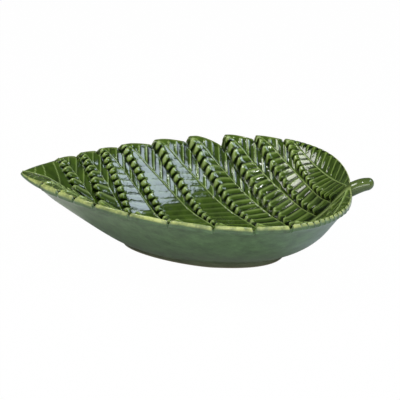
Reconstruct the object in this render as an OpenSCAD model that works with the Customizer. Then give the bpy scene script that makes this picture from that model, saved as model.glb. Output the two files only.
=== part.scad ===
// Leaf dish: a deep, glazed earthenware bowl pressed in the shape of a compound leaf.
// The leaf's tip points to -X and its stalk to +X. The dish stands on z = 0.

/* [Leaf] */
// Length of the leaf from its tip to the end of the rim
leaf_l = 268; // [200:1:340]
// Width of the leaf across its widest place
leaf_w = 190; // [150:1:240]
// Height of the rim at the middle of the leaf
rim_h = 66; // [50:1:85]
// How much lower the rim is at the tip
tip_drop = 3; // [0:0.5:10]
// How much lower the rim is under the stalk
stalk_drop = 8; // [4:0.5:12]

/* [Clay wall] */
// Thickness of the floor
floor_t = 6; // [5:0.5:9]
// Height of the rounded edge of the rim
rim_edge = 4.5; // [3.5:0.25:6]
// Radius of the soft bend between the floor and the wall
bend_r = 7; // [4:0.5:10]
// How far the wall bellies out below the stalk
belly = 8; // [2:0.5:10]
// How much higher the inside is toward the tip, where the clay is thick
tip_fill = 9; // [0:0.5:10]
// Width of the band below the rim where the wall flares out
flare_w = 20; // [10:1:28]
// How far the flare swells the wall, as a height at its start
flare_h = 12; // [0:1:14]

/* [Leaflets] */
// How far the free edge of a leaflet stands above its neighbour
leaflet_lift = 2.6; // [1.5:0.1:4]
// How far the lobes of a leaflet rise above the grooves between them
lobe_crown = 1.1; // [0.4:0.1:1.5]
// How far the crest of a leaflet's free edge is set back from the groove
edge_set = 0.7; // [0:0.1:1]
// How far the gaps between the lobes cut into a leaflet
lobe_gap = 2.4; // [1:0.1:3]
// Height of the vein of a leaflet
vein_h = 0.4; // [0.4:0.1:1.6]
// Width of the groove between two leaflets
groove_w = 1.2; // [0.8:0.1:1.6]

/* [Midrib and stalk] */
// Radius of the midrib at the tip
midrib_tip_r = 1.4; // [1:0.1:2]
// Radius of the midrib on the wall below the stalk
midrib_neck_r = 2.6; // [2:0.1:3.4]
// How far the midrib's axis stands off the wall below the stalk
midrib_ride = 2; // [0:0.1:2.4]
// Radius of the stalk where it leaves the rim
stalk_root_r = 5.4; // [4.4:0.1:6.4]
// How far the stalk's axis lies below the top of the rim there
stalk_sink = 1.3; // [0:0.1:2.5]
// Depth of the web of clay under the stalk's root
stalk_web = 2.5; // [0:0.1:4]
// Radius of the stalk at its rounded end
stalk_end_r = 5.2; // [4.4:0.1:6.4]
// How much thicker the stalk is at its middle
stalk_swell = 0.5; // [0:0.1:1]
// How far the stalk stands out past the rim
stalk_reach = 18; // [14:0.5:26]
// How far the stalk's axis rises to its end
stalk_rise = 5; // [2:0.2:7]

/* [Foot] */
// Height of the foot ring
foot_h = 5; // [3:0.5:7]
// Width of the foot ring's resting face
foot_band = 7; // [5:0.5:10]
// How far the foot ring is set in from the edge of the wall
foot_step = 1.2; // [0.6:0.1:2]
// Length of the foot from its widest place toward the tip
foot_tip_l = 79; // [65:1:90]
// Length of the foot from its widest place toward the stalk
foot_stalk_l = 60; // [50:1:70]
// Half of the foot's greatest width
foot_half_w = 38; // [32:1:46]
// Distance from the leaf's middle to the widest place of the foot
foot_shift = 26; // [20:1:30]

/* [Hidden] */

// Shape shares of the leaf outline: how full it is at the tip and at the stalk
tip_share = 0.8;
stalk_share = 0.4;
widest_share = tip_share / (tip_share + stalk_share);
// Shape shares of the foot outline, toward the tip and toward the stalk
foot_tip_share = 1.5;
foot_stalk_share = 2.5;
// How fast the rim falls toward the tip and toward the stalk
tip_fall_share = 3;
stalk_fall_share = 18;
// How much of the outer belly the inner wall follows
inner_belly_share = 0.6;
// Where the thick clay at the tip is full, starts to thin out and ends, along the leaf
fill_shares = [0.09, 0.2, 0.38];

// Where the grooves between leaflets start on the midrib and end on the rim,
// as shares of the leaf's length from the tip
root_shares = [0.156, 0.235, 0.33, 0.475, 0.62, 0.75, 0.84, 0.912, 0.953];
notch_shares = [0.081, 0.144, 0.2, 0.265, 0.369, 0.481, 0.602, 0.709, 0.805];
// Lobes along the free edge of each leaflet from the tip, and how they draw together at the rim
lobe_shares = [8, 10, 12.5, 15, 17, 18.5, 18.5, 17.5, 16];
lobe_growth_share = 1.4;
lobe_end_share = 2.4;
// How much the lobes lean on the leaflets near the stalk
lobe_tilt_share = 0.08;
first_tilted = 3;
// The grooves and veins curve toward the tip as they climb the wall
sweep_share = 1.3;
// Place of a leaflet's vein between its two grooves, at the midrib and at the rim
vein_root_share = 0.86;
vein_rim_share = 0.3;
// Where a leaflet reaches furthest out on the rim, and how deep its notches are
peak_share = 0.25;
notch_share = 0.18;
notch_soft_share = 0.8;
// Height of a leaflet across its width, as shares of its lift
mid_lobe_share = 0.82;
vein_bed_share = 0.5;
mid_basal_share = 0.35;
gap_floor_share = 0.45;
tucked_share = 0.25;
// Mean height of the ribs on the stalk side of a vein, as a share of a lobe's crown
rib_mean_share = 0.4;
end_slope_share = 0.8;
// Where a lobe's rounded end meets its flat middle, as a share of the way to the vein,
// and how much of its crown it keeps from there on, on each leaflet
lobe_back_share = 0.3;
long_lobe_shares = [0.6, 0.45, 0.35, 0.35, 0.4, 0.6, 0.65, 0.65, 0.65];
// Where the ribs on the stalk side of a vein start, as a share of the way from the midrib
basal_start_shares = [0.2, 0.35, 0.45, 0.45, 0.4, 0.2, 0.15, 0.15, 0];
basal_rise_share = 0.25;
// Height of the ribbed stalk side of the last leaflet, as a share of a lobe's crown
end_crown_share = 0.5;
// Part of the way up the wall over which a leaflet rises from the midrib
rise_share = 0.1;
// How much of its relief a leaflet keeps on the edge of the rim, and how much of its groove
rim_relief_share = 0.3;
rim_groove_share = 0.5;
// How fast the notch at the end of the tip leaflet deepens
tip_notch_share = 6;
// Places across the smooth leaflets: the one at the tip, and the stalk side of the last one
tip_place_shares = [0, 0.2, 0.4, 0.6, 0.8];
end_place_shares = [0.3, 0.55, 0.75, 0.9, 1];
// How fast the midrib thickens and leaves the wall, and the length of its collar at the stalk
neck_growth_share = 3;
ride_growth_share = 8;
collar_share = 0.04;
// The blunt ends of the leaf, where the outline is cut square
tip_cut_share = 0.0015;
stalk_cut_share = 0.998;

// Half of the step over which the wall's slope is found
probe = 0.4;
rows = 38;
outer_rows = 7;
outline_steps = 120;
rib_slice = 0.3;
foot_steps = 72;
rib_steps = 22;
rib_sides = 16;
stalk_steps = 12;
stalk_sides = 24;

leaf_x = -(leaf_l + stalk_reach) / 2;
foot_x = leaf_x + leaf_l / 2 + foot_shift;
floor_z = foot_h + floor_t;
seat_x = leaf_x + leaf_l * stalk_cut_share;
seat_z = rim_z(stalk_cut_share) - stalk_sink;
end_x = leaf_x + leaf_l + stalk_reach;
end_z = seat_z + stalk_rise;

// Outline of the leaf: half its width and the height of its rim, at a share of its length
function half_w(u) = leaf_w / 2 * pow(u / widest_share, tip_share)
    * pow((1 - u) / (1 - widest_share), stalk_share);
function rim_z(u) = rim_h - tip_drop * pow(1 - u, tip_fall_share)
    - stalk_drop * pow(u, stalk_fall_share);

// Outline of the foot, as a distance from its widest place in a direction
function foot_r(a) = cos(a) < 0
    ? egg_r(a, foot_tip_l, foot_tip_share)
    : egg_r(a, foot_stalk_l, foot_stalk_share);
function egg_r(a, l, n) = pow(pow(abs(cos(a)) / l, n) + pow(abs(sin(a)) / foot_half_w, n), -1 / n);

// The rim seen from the widest place of the foot: distance and height in each direction
rim_points = [for (k = [0 : outline_steps])
    let (u = (1 - cos(180 * k / outline_steps)) / 2,
         x = leaf_x + leaf_l * u - foot_x,
         y = half_w(u))
    [atan2(y, x), norm([x, y]), rim_z(u)]];
rim_r_table = [for (p = rim_points) [p[0], p[1]]];
rim_z_table = [for (p = rim_points) [p[0], p[2]]];

function turn(x, y) = atan2(abs(y), x - foot_x);
function belly_at(a) = belly * (1 + cos(a)) / 2;
function soft(d) = bend_r * ln(1 + exp(d / bend_r));
function eased(t) = let (k = min(1, max(0, t))) k * k * (3 - 2 * k);
function filled(x, y) =
    let (u = min(stalk_cut_share, max(tip_cut_share / 2, (x - leaf_x) / leaf_l)),
         q = min(1, abs(y) / half_w(u)))
    tip_fill * (1 - q * q) * eased(u / fill_shares[0])
        * (1 - eased((u - fill_shares[1]) / (fill_shares[2] - fill_shares[1])));
function flare(d) = let (s = max(0, 1 - max(0, d) / flare_w)) flare_h * s * s * (1 - s);

// Height of the inside of the bowl, before the leaflets, and of its outside
function inside_z(x, y) =
    let (a = turn(x, y),
         r = norm([x - foot_x, y]),
         rim_r = lookup(a, rim_r_table),
         f = (soft(r - foot_r(a)) - soft(-foot_r(a))) / (soft(rim_r - foot_r(a)) - soft(-foot_r(a))))
    floor_z + (lookup(a, rim_z_table) - floor_z) * f
        - inner_belly_share * belly_at(a) * sin(180 * min(f, 1)) + flare(rim_r - r) + filled(x, y);
function outside_z(x, y) =
    let (a = turn(x, y),
         r = norm([x - foot_x, y]),
         rim_r = lookup(a, rim_r_table),
         f = max(0, (r - foot_r(a)) / (rim_r - foot_r(a))))
    foot_h + (lookup(a, rim_z_table) - rim_edge - foot_h) * f
        - belly_at(a) * sin(180 * min(f, 1)) + flare(rim_r - r);

// A column of the leaf's grid runs from the midrib to the rim. It is
// [leaflet, kind, place across it where it is smooth]; leaflet 0 is the one at the tip.
TIP_LEAFLET = 0;
FREE_EDGE = 0;
LOBES = 1;
VEIN = 2;
BASAL = 3;
TUCKED = 4;
SMOOTH = 5;
leaflets = len(root_shares);
columns = concat(
    [for (s = tip_place_shares) [TIP_LEAFLET, SMOOTH, s]],
    [[TIP_LEAFLET, TUCKED, 0]],
    [for (i = [1 : leaflets - 1], kind = [FREE_EDGE : TUCKED]) [i, kind, 0]],
    [for (kind = [FREE_EDGE : VEIN]) [leaflets, kind, 0]],
    [for (s = end_place_shares) [leaflets, SMOOTH, s]]);

function root_of(i) = i == 0 ? tip_cut_share : i > leaflets ? stalk_cut_share : root_shares[i - 1];
function notch_of(i) = i == 0 ? tip_cut_share : i > leaflets ? stalk_cut_share : notch_shares[i - 1];
function vein_place(v) = vein_root_share + (vein_rim_share - vein_root_share) * v;

// Place of a column across its leaflet, from 0 at the tip side to 1 at the stalk side
function place(col, v) =
    col[1] == FREE_EDGE ? 0
    : col[1] == LOBES ? vein_place(v) * lobe_back_share
    : col[1] == VEIN ? vein_place(v)
    : col[1] == BASAL ? (1 + vein_place(v)) / 2
    : col[1] == TUCKED ? 1
    : col[0] == TIP_LEAFLET ? col[2]
    : vein_place(v) + (1 - vein_place(v)) * col[2];

function pitch(i) = (notch_of(i + 1) - notch_of(i)) * leaf_l;
function notch_in(i, s) =
    i == TIP_LEAFLET ? notch_share * notch_soft_share * pitch(1) * pow(s, tip_notch_share)
    : s < peak_share ? notch_share * min(pitch(i), pitch(i - 1)) * pow(1 - s / peak_share, 2)
    : i == leaflets ? 0
    : notch_share * notch_soft_share * pitch(i) * pow((s - peak_share) / (1 - peak_share), 2);

// Number of lobes from the midrib to a point of a column; whole numbers are gaps between lobes
function lobes_to(col, v) =
    let (tilt = lobe_tilt_share * max(0, col[0] - first_tilted) / (leaflets - first_tilted))
    lobe_shares[col[0] - 1] * pow(max(0, v - 4 * tilt * place(col, v) * v * (1 - v)), lobe_growth_share);
function lobed(col) = col[0] > 0 && (col[1] == FREE_EDGE || col[1] == LOBES);

// Rows are closer toward the rim, as the lobes are
function row_v(j) = pow(j / rows, 1 / lobe_growth_share);
function lobe_step(col, j) = (lobes_to(col, row_v(j + 1)) - lobes_to(col, row_v(j - 1))) / 2;
function gap_offset(col, j) = let (t = lobes_to(col, row_v(j))) round(t) - t;
function in_gap(col, j) = j > 0 && j < rows && lobed(col)
    && abs(gap_offset(col, j)) < abs(lobe_step(col, j)) / 2;
// Place of a row from the midrib to the rim; a row near a gap moves into it
function place_v(col, j) = in_gap(col, j)
    ? row_v(j) + gap_offset(col, j) / lobe_step(col, j) * (row_v(j + 1) - row_v(j - 1)) / 2
    : row_v(j);

// A lobe stands proud along its middle and falls to the gaps beside it
function lobe_section(col, v) =
    let (t = lobes_to(col, v), c = abs(2 * (t - floor(t)) - 1))
    sqrt(1 - pow(c, lobe_end_share));
function edge_shift(col, j) =
    col[1] == TUCKED ? -groove_w / 2
    : col[1] != FREE_EDGE ? 0
    : in_gap(col, j) ? groove_w / 2 + lobe_gap
    : groove_w / 2 + edge_set;
function relief(col, j, v) =
    let (share = min(1, v / rise_share) * (v < 1 ? 1 : rim_relief_share),
         rise = leaflet_lift * share,
         crown = !lobed(col) || in_gap(col, j) ? 0 : lobe_crown * share * lobe_section(col, v))
    col[1] == FREE_EDGE ? (in_gap(col, j) ? gap_floor_share * rise : rise + crown)
    : col[1] == LOBES ? mid_lobe_share * rise + long_lobe_shares[col[0] - 1] * crown
    : col[1] == VEIN ? vein_bed_share * rise + vein_h * share
    : col[1] == BASAL
    ? mid_basal_share * rise
        + rib_mean_share * lobe_crown * share * eased((v - basal_start_shares[col[0] - 1]) / basal_rise_share)
    : col[1] == TUCKED && col[0] > 0 ? tucked_share * rise
    : col[0] == leaflets
    ? vein_bed_share * rise * pow(1 - col[2], end_slope_share) + end_crown_share * lobe_crown * share
    : 0;

// Plan position of a grid point: column, row from the midrib, side +1 or -1
function plan(col, v, shift) =
    let (i = col[0],
         s = place(col, v),
         m = root_of(i) + (root_of(i + 1) - root_of(i)) * s,
         e = notch_of(i) + (notch_of(i + 1) - notch_of(i)) * s)
    [leaf_x + leaf_l * (m - (m - e) * pow(v, sweep_share)) + shift, v * (half_w(e) - notch_in(i, s))];

// The relief stands square to the wall, so it leans in with the wall's slope
function slope_x(x, y) = (inside_z(x + probe, y) - inside_z(x - probe, y)) / (2 * probe);
function slope_y(x, y) = (inside_z(x, y + probe) - inside_z(x, y - probe)) / (2 * probe);
function inner_point(col, j) =
    let (v = place_v(col, abs(j)),
         side = j < 0 ? -1 : 1,
         p = plan(col, v, edge_shift(col, abs(j)) * (v < 1 ? min(1, v / rise_share) : rim_groove_share)),
         sx = slope_x(p[0], p[1]),
         sy = slope_y(p[0], p[1]),
         rise = relief(col, abs(j), v) / norm([sx, sy, 1]))
    [p[0] - sx * rise, side * (p[1] - sy * rise), inside_z(p[0], p[1]) + rise];
function outer_point(col, j) =
    let (v = abs(j) / outer_rows,
         side = j < 0 ? -1 : 1,
         q = v * rows,
         p = plan(col, v, edge_shift(col, q) * (v < 1 ? min(1, v / rise_share) : rim_groove_share)))
    [p[0], side * p[1], outside_z(p[0], p[1])];

// Closed shell between the inner and the outer grid
module leaf_shell() {
    n = len(columns);
    ni = 2 * rows + 1;
    no = 2 * outer_rows + 1;
    inner = [for (c = columns, j = [-rows : rows]) inner_point(c, j)];
    outer = [for (c = columns, j = [-outer_rows : outer_rows]) outer_point(c, j)];
    base = n * ni;
    faces = concat(
        [for (c = [0 : n - 2], j = [0 : ni - 2], t = [0, 1])
            let (a = c * ni + j, b = a + ni)
            t == 0 ? [a, a + 1, b] : [b, a + 1, b + 1]],
        [for (c = [0 : n - 2], j = [0 : no - 2], t = [0, 1])
            let (a = base + c * no + j, b = a + no)
            t == 0 ? [a, b, a + 1] : [b, b + 1, a + 1]],
        [for (c = [0 : n - 2], t = [0, 1])
            let (a = c * ni, b = a + ni, p = base + c * no, q = p + no)
            t == 0 ? [a, b, p] : [b, q, p]],
        [for (c = [0 : n - 2], t = [0, 1])
            let (a = c * ni + ni - 1, b = a + ni, p = base + c * no + no - 1, q = p + no)
            t == 0 ? [a, p, b] : [b, p, q]],
        [concat([for (j = [ni - 1 : -1 : 0]) j], [for (j = [0 : no - 1]) base + j])],
        [concat([for (j = [0 : ni - 1]) (n - 1) * ni + j],
                [for (j = [no - 1 : -1 : 0]) base + (n - 1) * no + j])]);
    polyhedron(points = concat(inner, outer), faces = faces, convexity = 10);
}

// Outline of the foot, moved in by a distance
function foot_outline(inset) = [for (k = [0 : foot_steps - 1])
    let (a = 360 * k / foot_steps, r = foot_r(a) - inset)
    [foot_x + r * cos(a), r * sin(a)]];

// Midrib: a roll of clay along the inside of the bowl, with a collar up to the stalk's seat
function along(k) = (1 - cos(180 * k / rib_steps)) / 2;
function collar(k) = pow(max(0, 1 - (1 - along(k)) / collar_share), 2);
function rib_r(k) = midrib_tip_r + (midrib_neck_r - midrib_tip_r) * pow(along(k), neck_growth_share)
    + (stalk_root_r - midrib_neck_r) * collar(k);
function rib_x(k) = leaf_x + leaf_l * (tip_cut_share + (stalk_cut_share - tip_cut_share) * along(k));
function rib_z(k) = inside_z(rib_x(k), 0) + midrib_ride * pow(along(k), ride_growth_share) * (1 - collar(k))
    - stalk_sink * collar(k);

module rib_disc(k) {
    translate([rib_x(k) - (k == rib_steps ? rib_slice : 0), 0, rib_z(k)])
        rotate([0, 90, 0])
            cylinder(r = rib_r(k), h = rib_slice, $fn = rib_sides);
}

module dish_body() {
    color([0.31, 0.43, 0.15])
    union() {
        leaf_shell();
        for (k = [0 : rib_steps - 1])
            hull() {
                rib_disc(k);
                rib_disc(k + 1);
            }
        translate([0, 0, foot_h])
            linear_extrude(height = floor_t / 2)
                polygon(foot_outline(0));
    }
}

// Stalk: a roll luted onto the flat end of the rim, with a rounded end and a web below its root
function stalk_x(k) = seat_x + (end_x - seat_x) * sin(90 * k / stalk_steps);
function out(k) = (stalk_x(k) - seat_x) / (end_x - stalk_end_r - seat_x);
function stalk_r(k) =
    let (cap = max(0, stalk_x(k) - (end_x - stalk_end_r)))
    cap > 0 ? sqrt(stalk_end_r * stalk_end_r - cap * cap)
    : stalk_root_r + (stalk_end_r - stalk_root_r) * out(k) + stalk_swell * sin(180 * out(k));
function stalk_z(k) = seat_z + stalk_rise * sin(90 * (stalk_x(k) - seat_x) / (end_x - seat_x));
function web(k) = stalk_web * pow(max(0, 1 - out(k)), 2);
function stalk_point(k, a) =
    [stalk_x(k), stalk_r(k) * cos(a), stalk_z(k) + (stalk_r(k) + (a > 180 ? web(k) : 0)) * sin(a)];

module stem_handle() {
    n = stalk_sides;
    rings = [for (k = [0 : stalk_steps - 1], i = [0 : n - 1])
        stalk_point(k, 360 * i / n)];
    tip = len(rings);
    faces = concat(
        [[for (i = [0 : n - 1]) i]],
        [for (k = [0 : stalk_steps - 2], i = [0 : n - 1], t = [0, 1])
            let (a = k * n + i, b = k * n + (i + 1) % n)
            t == 0 ? [a, a + n, b] : [b, a + n, b + n]],
        [for (i = [0 : n - 1]) [(stalk_steps - 1) * n + i, tip, (stalk_steps - 1) * n + (i + 1) % n]]);
    color([0.42, 0.52, 0.2])
        polyhedron(points = concat(rings, [[end_x, 0, end_z]]), faces = faces);
}

// Foot: a ring of clay luted under the floor; its lower face is the one the dish stands on
module foot_ring() {
    color([0.27, 0.33, 0.2])
        linear_extrude(height = foot_h)
            difference() {
                polygon(foot_outline(foot_step));
                polygon(foot_outline(foot_step + foot_band));
            }
}

dish_body();
stem_handle();
foot_ring();
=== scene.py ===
import math

import bpy
import numpy as np
from bpy.props import FloatProperty, FloatVectorProperty, IntProperty, PointerProperty
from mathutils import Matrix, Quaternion, Vector


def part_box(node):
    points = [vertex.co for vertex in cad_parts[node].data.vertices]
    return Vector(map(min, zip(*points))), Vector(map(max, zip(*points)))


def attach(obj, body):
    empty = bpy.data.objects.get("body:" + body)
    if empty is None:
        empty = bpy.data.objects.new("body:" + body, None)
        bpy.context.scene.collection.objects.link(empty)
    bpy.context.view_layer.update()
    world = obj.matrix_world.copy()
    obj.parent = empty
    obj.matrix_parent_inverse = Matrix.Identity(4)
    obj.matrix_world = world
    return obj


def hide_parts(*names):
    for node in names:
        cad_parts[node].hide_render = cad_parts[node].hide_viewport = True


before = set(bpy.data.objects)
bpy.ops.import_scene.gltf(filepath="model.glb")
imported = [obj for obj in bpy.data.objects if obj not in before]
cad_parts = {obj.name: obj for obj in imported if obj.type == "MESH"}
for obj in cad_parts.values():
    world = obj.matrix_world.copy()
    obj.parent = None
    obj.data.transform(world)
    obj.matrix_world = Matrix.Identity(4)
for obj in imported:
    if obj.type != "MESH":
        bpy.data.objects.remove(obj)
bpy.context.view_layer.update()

bl_info = {
    "name": "Leaf dish",
    "version": (1, 0, 0),
    "blender": (4, 5, 0),
    "location": "3D View > Sidebar > Leaf dish",
    "description": "Dresses a deep, glazed, leaf-shaped serving dish",
    "category": "Object",
}

BODY_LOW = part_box("dish_body")[0]
STALK_LOW, STALK_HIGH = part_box("stem_handle")
FOOT_LOW, FOOT_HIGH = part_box("foot_ring")
MM_PER_M = 1000

# A name that ends in RISE or FALL holds a start and a span, for ease or climb. In the relief, a runs
# across a leaflet from its tip side (0) to its stalk side (1), and v from the midrib (0) to the rim (1).

# Where the grooves between the leaflets leave the midrib and where they end on the rim, as shares
# of the leaf's length from its tip. The first and last of each are the leaf's cut ends.
TIP_CUT_SHARE = 0.0015
STALK_CUT_SHARE = 0.998
ROOT_SHARES = [TIP_CUT_SHARE, 0.156, 0.235, 0.33, 0.475, 0.62, 0.75, 0.84, 0.912, 0.953, STALK_CUT_SHARE]
NOTCH_SHARES = [TIP_CUT_SHARE, 0.081, 0.144, 0.2, 0.265, 0.369, 0.481, 0.602, 0.709, 0.805, STALK_CUT_SHARE]
LAST_LEAFLET = len(ROOT_SHARES) - 2

# Powers of the leaf's outline, its rim and the foot's oval, toward the tip and toward the stalk, the
# points of the outline, and the step over which a slope is measured.
TIP_FULL_POWER = 0.8
STALK_FULL_POWER = 0.4
TIP_FALL_POWER = 3
STALK_FALL_POWER = 18
FOOT_TIP_POWER = 1.5
FOOT_STALK_POWER = 2.5
OUTLINE_POINTS = 1201
SLOPE_STEP_M = 0.0004

# The wall: the inner belly as a share of the outer one, where the thick clay inside the tip starts, is
# full and ends, the outer belly toward the tip, how much thinner the rim is at the very tip, and how
# far askew the stalk end sits.
INNER_BELLY_SHARE = 0.6
FILL_SHARES = [0.09, 0.2, 0.38]
TIP_BELLY_M = 0.0035
TIP_BELLY_POWER = 0.5
TIP_THIN_SHARE = 0.45
TIP_THIN_REACH = 0.12
END_SKEW_SHARE = 0.06
END_SKEW_RISE = (0.87, 0.13)

# The leaflets: how their grooves curve, how soon the relief rises beside the midrib, and a small share
# that keeps a division or a power from zero.
SWEEP_POWER = 1.3
RISE_SHARE = 0.1
LEAST_SHARE = 0.02

# The rim of a leaflet: how deep it is cut back at its ends, how narrow its rounded start is, its peak,
# and how far it falls off after the peak, which the hand-made dish has deeper on the far side.
NOTCH_DEPTH_SHARE = 0.18
NOTCH_SOFT_SHARE = 0.8
PEAK_SHARE = 0.25
START_SHARES = [0.25, 0.25, 0.2, 0.16, 0.12, 0.12, 0.12, 0.1, 0.08]
START_POWER = 2
FAR_FALLS = [2.4, 1.5, 1.4, 1.1, 1.1, 1.8, 0.9, 0.4, 0]
FAR_FALL_POWER = 1.2
NEAR_FALL_POWER = 2
TIP_NOTCH_POWER = 6
FIRST_BAY_M = 0.0045
FIRST_BAY_RISE = (0.3, 0.5)

# The small leaflet at the tip: where its veins leave the midrib and end on the rim, how thin, high and
# pale they are, and where they fade.
TIP_VEIN_SHARES = [(0.23, 0.34), (0.44, 0.56), (0.72, 0.93)]
TIP_VEIN_WIDTH_M = 0.00035
TIP_VEIN_HEIGHT_M = 0.0004
TIP_VEIN_MARK = 0.8
TIP_VEIN_END = 0.97
TIP_VEIN_FADE = 0.06

# The vein of each other leaflet: where it ends on the rim, how long it keeps to the groove, its bend,
# its narrowing and lowering toward the rim, and the smooth bed on both sides of it.
VEIN_RIM_SHARE = 0.13
VEIN_LEAVE_SHARE = 0.12
VEIN_BENDS = [0.66, 1.45, 2.8, 2.8, 2.8, 2.6, 3, 4, 0.95]
VEIN_MARK = 0.85
VEIN_ROOT_WIDTH = 1.15
VEIN_NARROWING = 0.45
VEIN_LOWERING = 0.35
VEIN_END = 0.985
VEIN_FADE = 0.05
VEIN_BED_M = 0.0018

# The lobes between the groove on the tip side and the vein: how many, how they lean, how much closer
# they sit toward the rim, how long their crests are, and their round, beaded free ends.
LOBE_COUNTS = [6.5, 9, 13.5, 16, 17.5, 17.5, 15.2, 13.8, 14.5]
LOBE_TILTS = [0.05, 0.1, 0.14, 0.08, 0.06, 0.07, 0.09, 0.1, 0.1]
LOBE_GROWTH_POWER = 1.4
LOBE_EVEN_SHARE = 0.3
LONG_LOBE_SHARES = [0.85, 0.7, 0.25, 0.12, 0.2, 0.55, 0.6, 0.55, 0.5]
LOBE_SHARPNESS = 3
LOBE_END_SHARE = 0.45
LOBE_END_LIMIT = 0.985
LOBE_SCATTER_M = 0.0009
SLIT_RISE = (0.8, 0.2)
FULL_SLIT_LEAFLETS = 5
SMALL_SLIT_SHARE = 0.5
BEAD_FALL_POWER = 3
BEAD_CREST_M = 0.0022
BEAD_CREST_SHARE = 0.25
BEAD_CREST_LEAST = 0.5
BEAD_SERIES = 3
LIFT_AT_VEIN_SHARE = 0.5
# A painted highlight along each lobe's crest, set off its middle toward the rim: its strength, place and
# width.
CREST_HIGHLIGHT = 0.75
CREST_PLACE = 0.45
CREST_WIDTH = 0.28

# The ribs between the vein and the groove on the stalk side: how they lean in plan, about which place
# across the dish, where they start, how high and wide they are, and the fine vein on each.
RIB_LEAN_SHARE = 0.1
END_LEAN_SHARE = 0.3
END_PITCH_SHARE = 0.835
RIB_PIVOT_M = 0.06
RIB_ROOM_M = 0.008
RIB_WIDTH = 0.3
RIB_RISE_SHARE = 0.25
RIB_START_SHARES = [0.2, 0.35, 0.45, 0.45, 0.4, 0.2, 0.15, 0.15, 0]
RIB_HEIGHT_SHARE = 0.6
RIB_LEAST = 0.7
RIB_SCATTER = 0.6
RIB_SERIES = 5
RIB_VEIN_MARK = 0.45
RIB_VEIN_WIDTH = 0.16

# The relief near the rim: how it is smoothed on the first side leaflets, and where it ends on a plain
# rim with a small step at each leaflet.
SMOOTH_LEAFLETS = 3
SMOOTH_MOST = 0.75
SMOOTH_LESS = 0.2
SMOOTH_RISE = (0.82, 0.14)
RIM_RISE = (0.972, 0.022)
RIM_LIFT_SHARE = 0.3
RIM_STEP_M = 0.002
RIM_STEP_POWER = 0.5

# The small slots in the rim, at both grooves of a leaflet and between the ribs of the last one: how
# wide they are, over how many widths they are cut, and how much shallower the far ones are.
TIP_SIDE_SLOT_M = 0.0012
TIP_SIDE_SLOT_WIDTHS = 1.9
STALK_SIDE_SLOT_M = 0.0009
STALK_SIDE_SLOT_WIDTHS = 1.6
RIB_SLOT_RISE = (0.6, 0.3)
RIB_SLOT_END_SHARE = 0.15
FAR_SLOT_SHARE = 0.35
SLOT_RISE = (0.93, 0.03)
SLOT_FALL = (0.985, 0.015)
SLOT_FALL_SHARE = 0.2

# Columns of the relief, closer at a leaflet's free edge, and how its rows crowd toward the rim.
TIP_COLUMNS = 40
TIP_COLUMN_POWER = 0.85
EDGE_COLUMNS = 13
EDGE_COLUMN_SHARE = 0.17
SIDE_COLUMNS = 46
LAST_COLUMNS = 80
ROW_CROWDING = 0.25

# The light mark, from dark in the grooves (0) to pale on the crests (1): pooled and thin glaze, and also
# painted shade in the grooves and slots and painted light on the crests and on the sides that face the rim.
# The relief that counts as one whole step is less toward the stalk, so the marks are stronger there.
LIGHT_LEVEL = 0.47
LIGHT_SPREAD = 4
LIGHT_CREST_M = 0.005
LIGHT_CREST_LESS_M = 0.0015
LIGHT_SLOPE_ROWS = 3
LIGHT_SLOPE_M = 0.0036
LIGHT_SLOPE_LESS_M = 0.001
LIGHT_LEAST = 0.3
LIGHT_STALKWARD_M = 0.03
LIGHT_RIM = 0.5
LIGHT_RIM_RISE = (0.97, 0.02)
# Painted shade: how much darker the small slots in the rim are.
SLOT_SHADE = 0.5

# The pale band of the rim on the inner relief, which is wider near the tip and broken by the slots.
BAND_START = 0.983
BAND_SPAN = 0.012
TIP_BAND_REACH = 0.3
TIP_BAND_START = 0.09
TIP_BAND_SPAN = 0.06
NEAR_BAND_MARK = 0.85
FAR_BAND_MARK = 0.2
FULL_SLOT = 0.6

# The outer wall: the rows of its rounded lip, of the wall and of the underside, how far down the scallops of
# the rim fade out, the pale mark on the lip, and a faint painted highlight in a thin line just above the
# foot.
LIP_ROWS = 11
LIP_POWER = 0.8
WALL_ROWS = 44
SCALLOP_FADE = 0.14
UNDERSIDE_SHARES = (0.97, 0.9, 0.7, 0.4, 0.1)
CALM_POINTS = 720
CALM_SPREAD = 13
LIP_MARK_RISE = (0.3, 0.4)
SLOT_MARK_LOSS = 0.9
SLOT_MARK_DOWN = 10
SLOT_MARK_END = 2
# A painted highlight: how strong the faint pale line just above the foot is, how far above it and how wide.
FOOT_HIGHLIGHT = 0.25
FOOT_HIGHLIGHT_M = 0.001
FOOT_HIGHLIGHT_WIDTH_M = 0.0012

# The midrib: its rings, the collar where it meets the stalk, how it grows, and its pale line, which
# is brighter near the tip and parts in two toward the stalk.
MIDRIB_RINGS = 200
MIDRIB_SIDES = 24
COLLAR_SHARE = 0.04
COLLAR_POWER = 2
NECK_GROWTH_POWER = 3
RIDE_GROWTH_POWER = 8
LINE_PART = 0.9
LINE_PART_RISE = (0.6, 0.4)
LINE_WIDTH = 0.35
TIP_LINE_MORE = 0.8
TIP_LINE_REACH = 0.3

# The stalk: its rings, how its round end stops short of a point, how its web of clay thins out, its faint
# pale tone, and the painted highlight along its upper sides.
STALK_RINGS = 60
STALK_SIDES = 48
STALK_END_LIMIT = 0.9999
WEB_POWER = 2
STALK_PALE_LEAST = 0.02
STALK_HIGHLIGHT = 0.22
STALK_HIGHLIGHT_HEIGHT = 0.5
STALK_HIGHLIGHT_WIDTH = 0.5

# The foot: its columns, and the rounding of its edges, which is taller on the outside.
FOOT_COLUMNS = 360
FOOT_EDGE_M = 0.001
FOOT_EDGE_TALLER = 1.6
FOOT_EDGE_STEPS = 4

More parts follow.
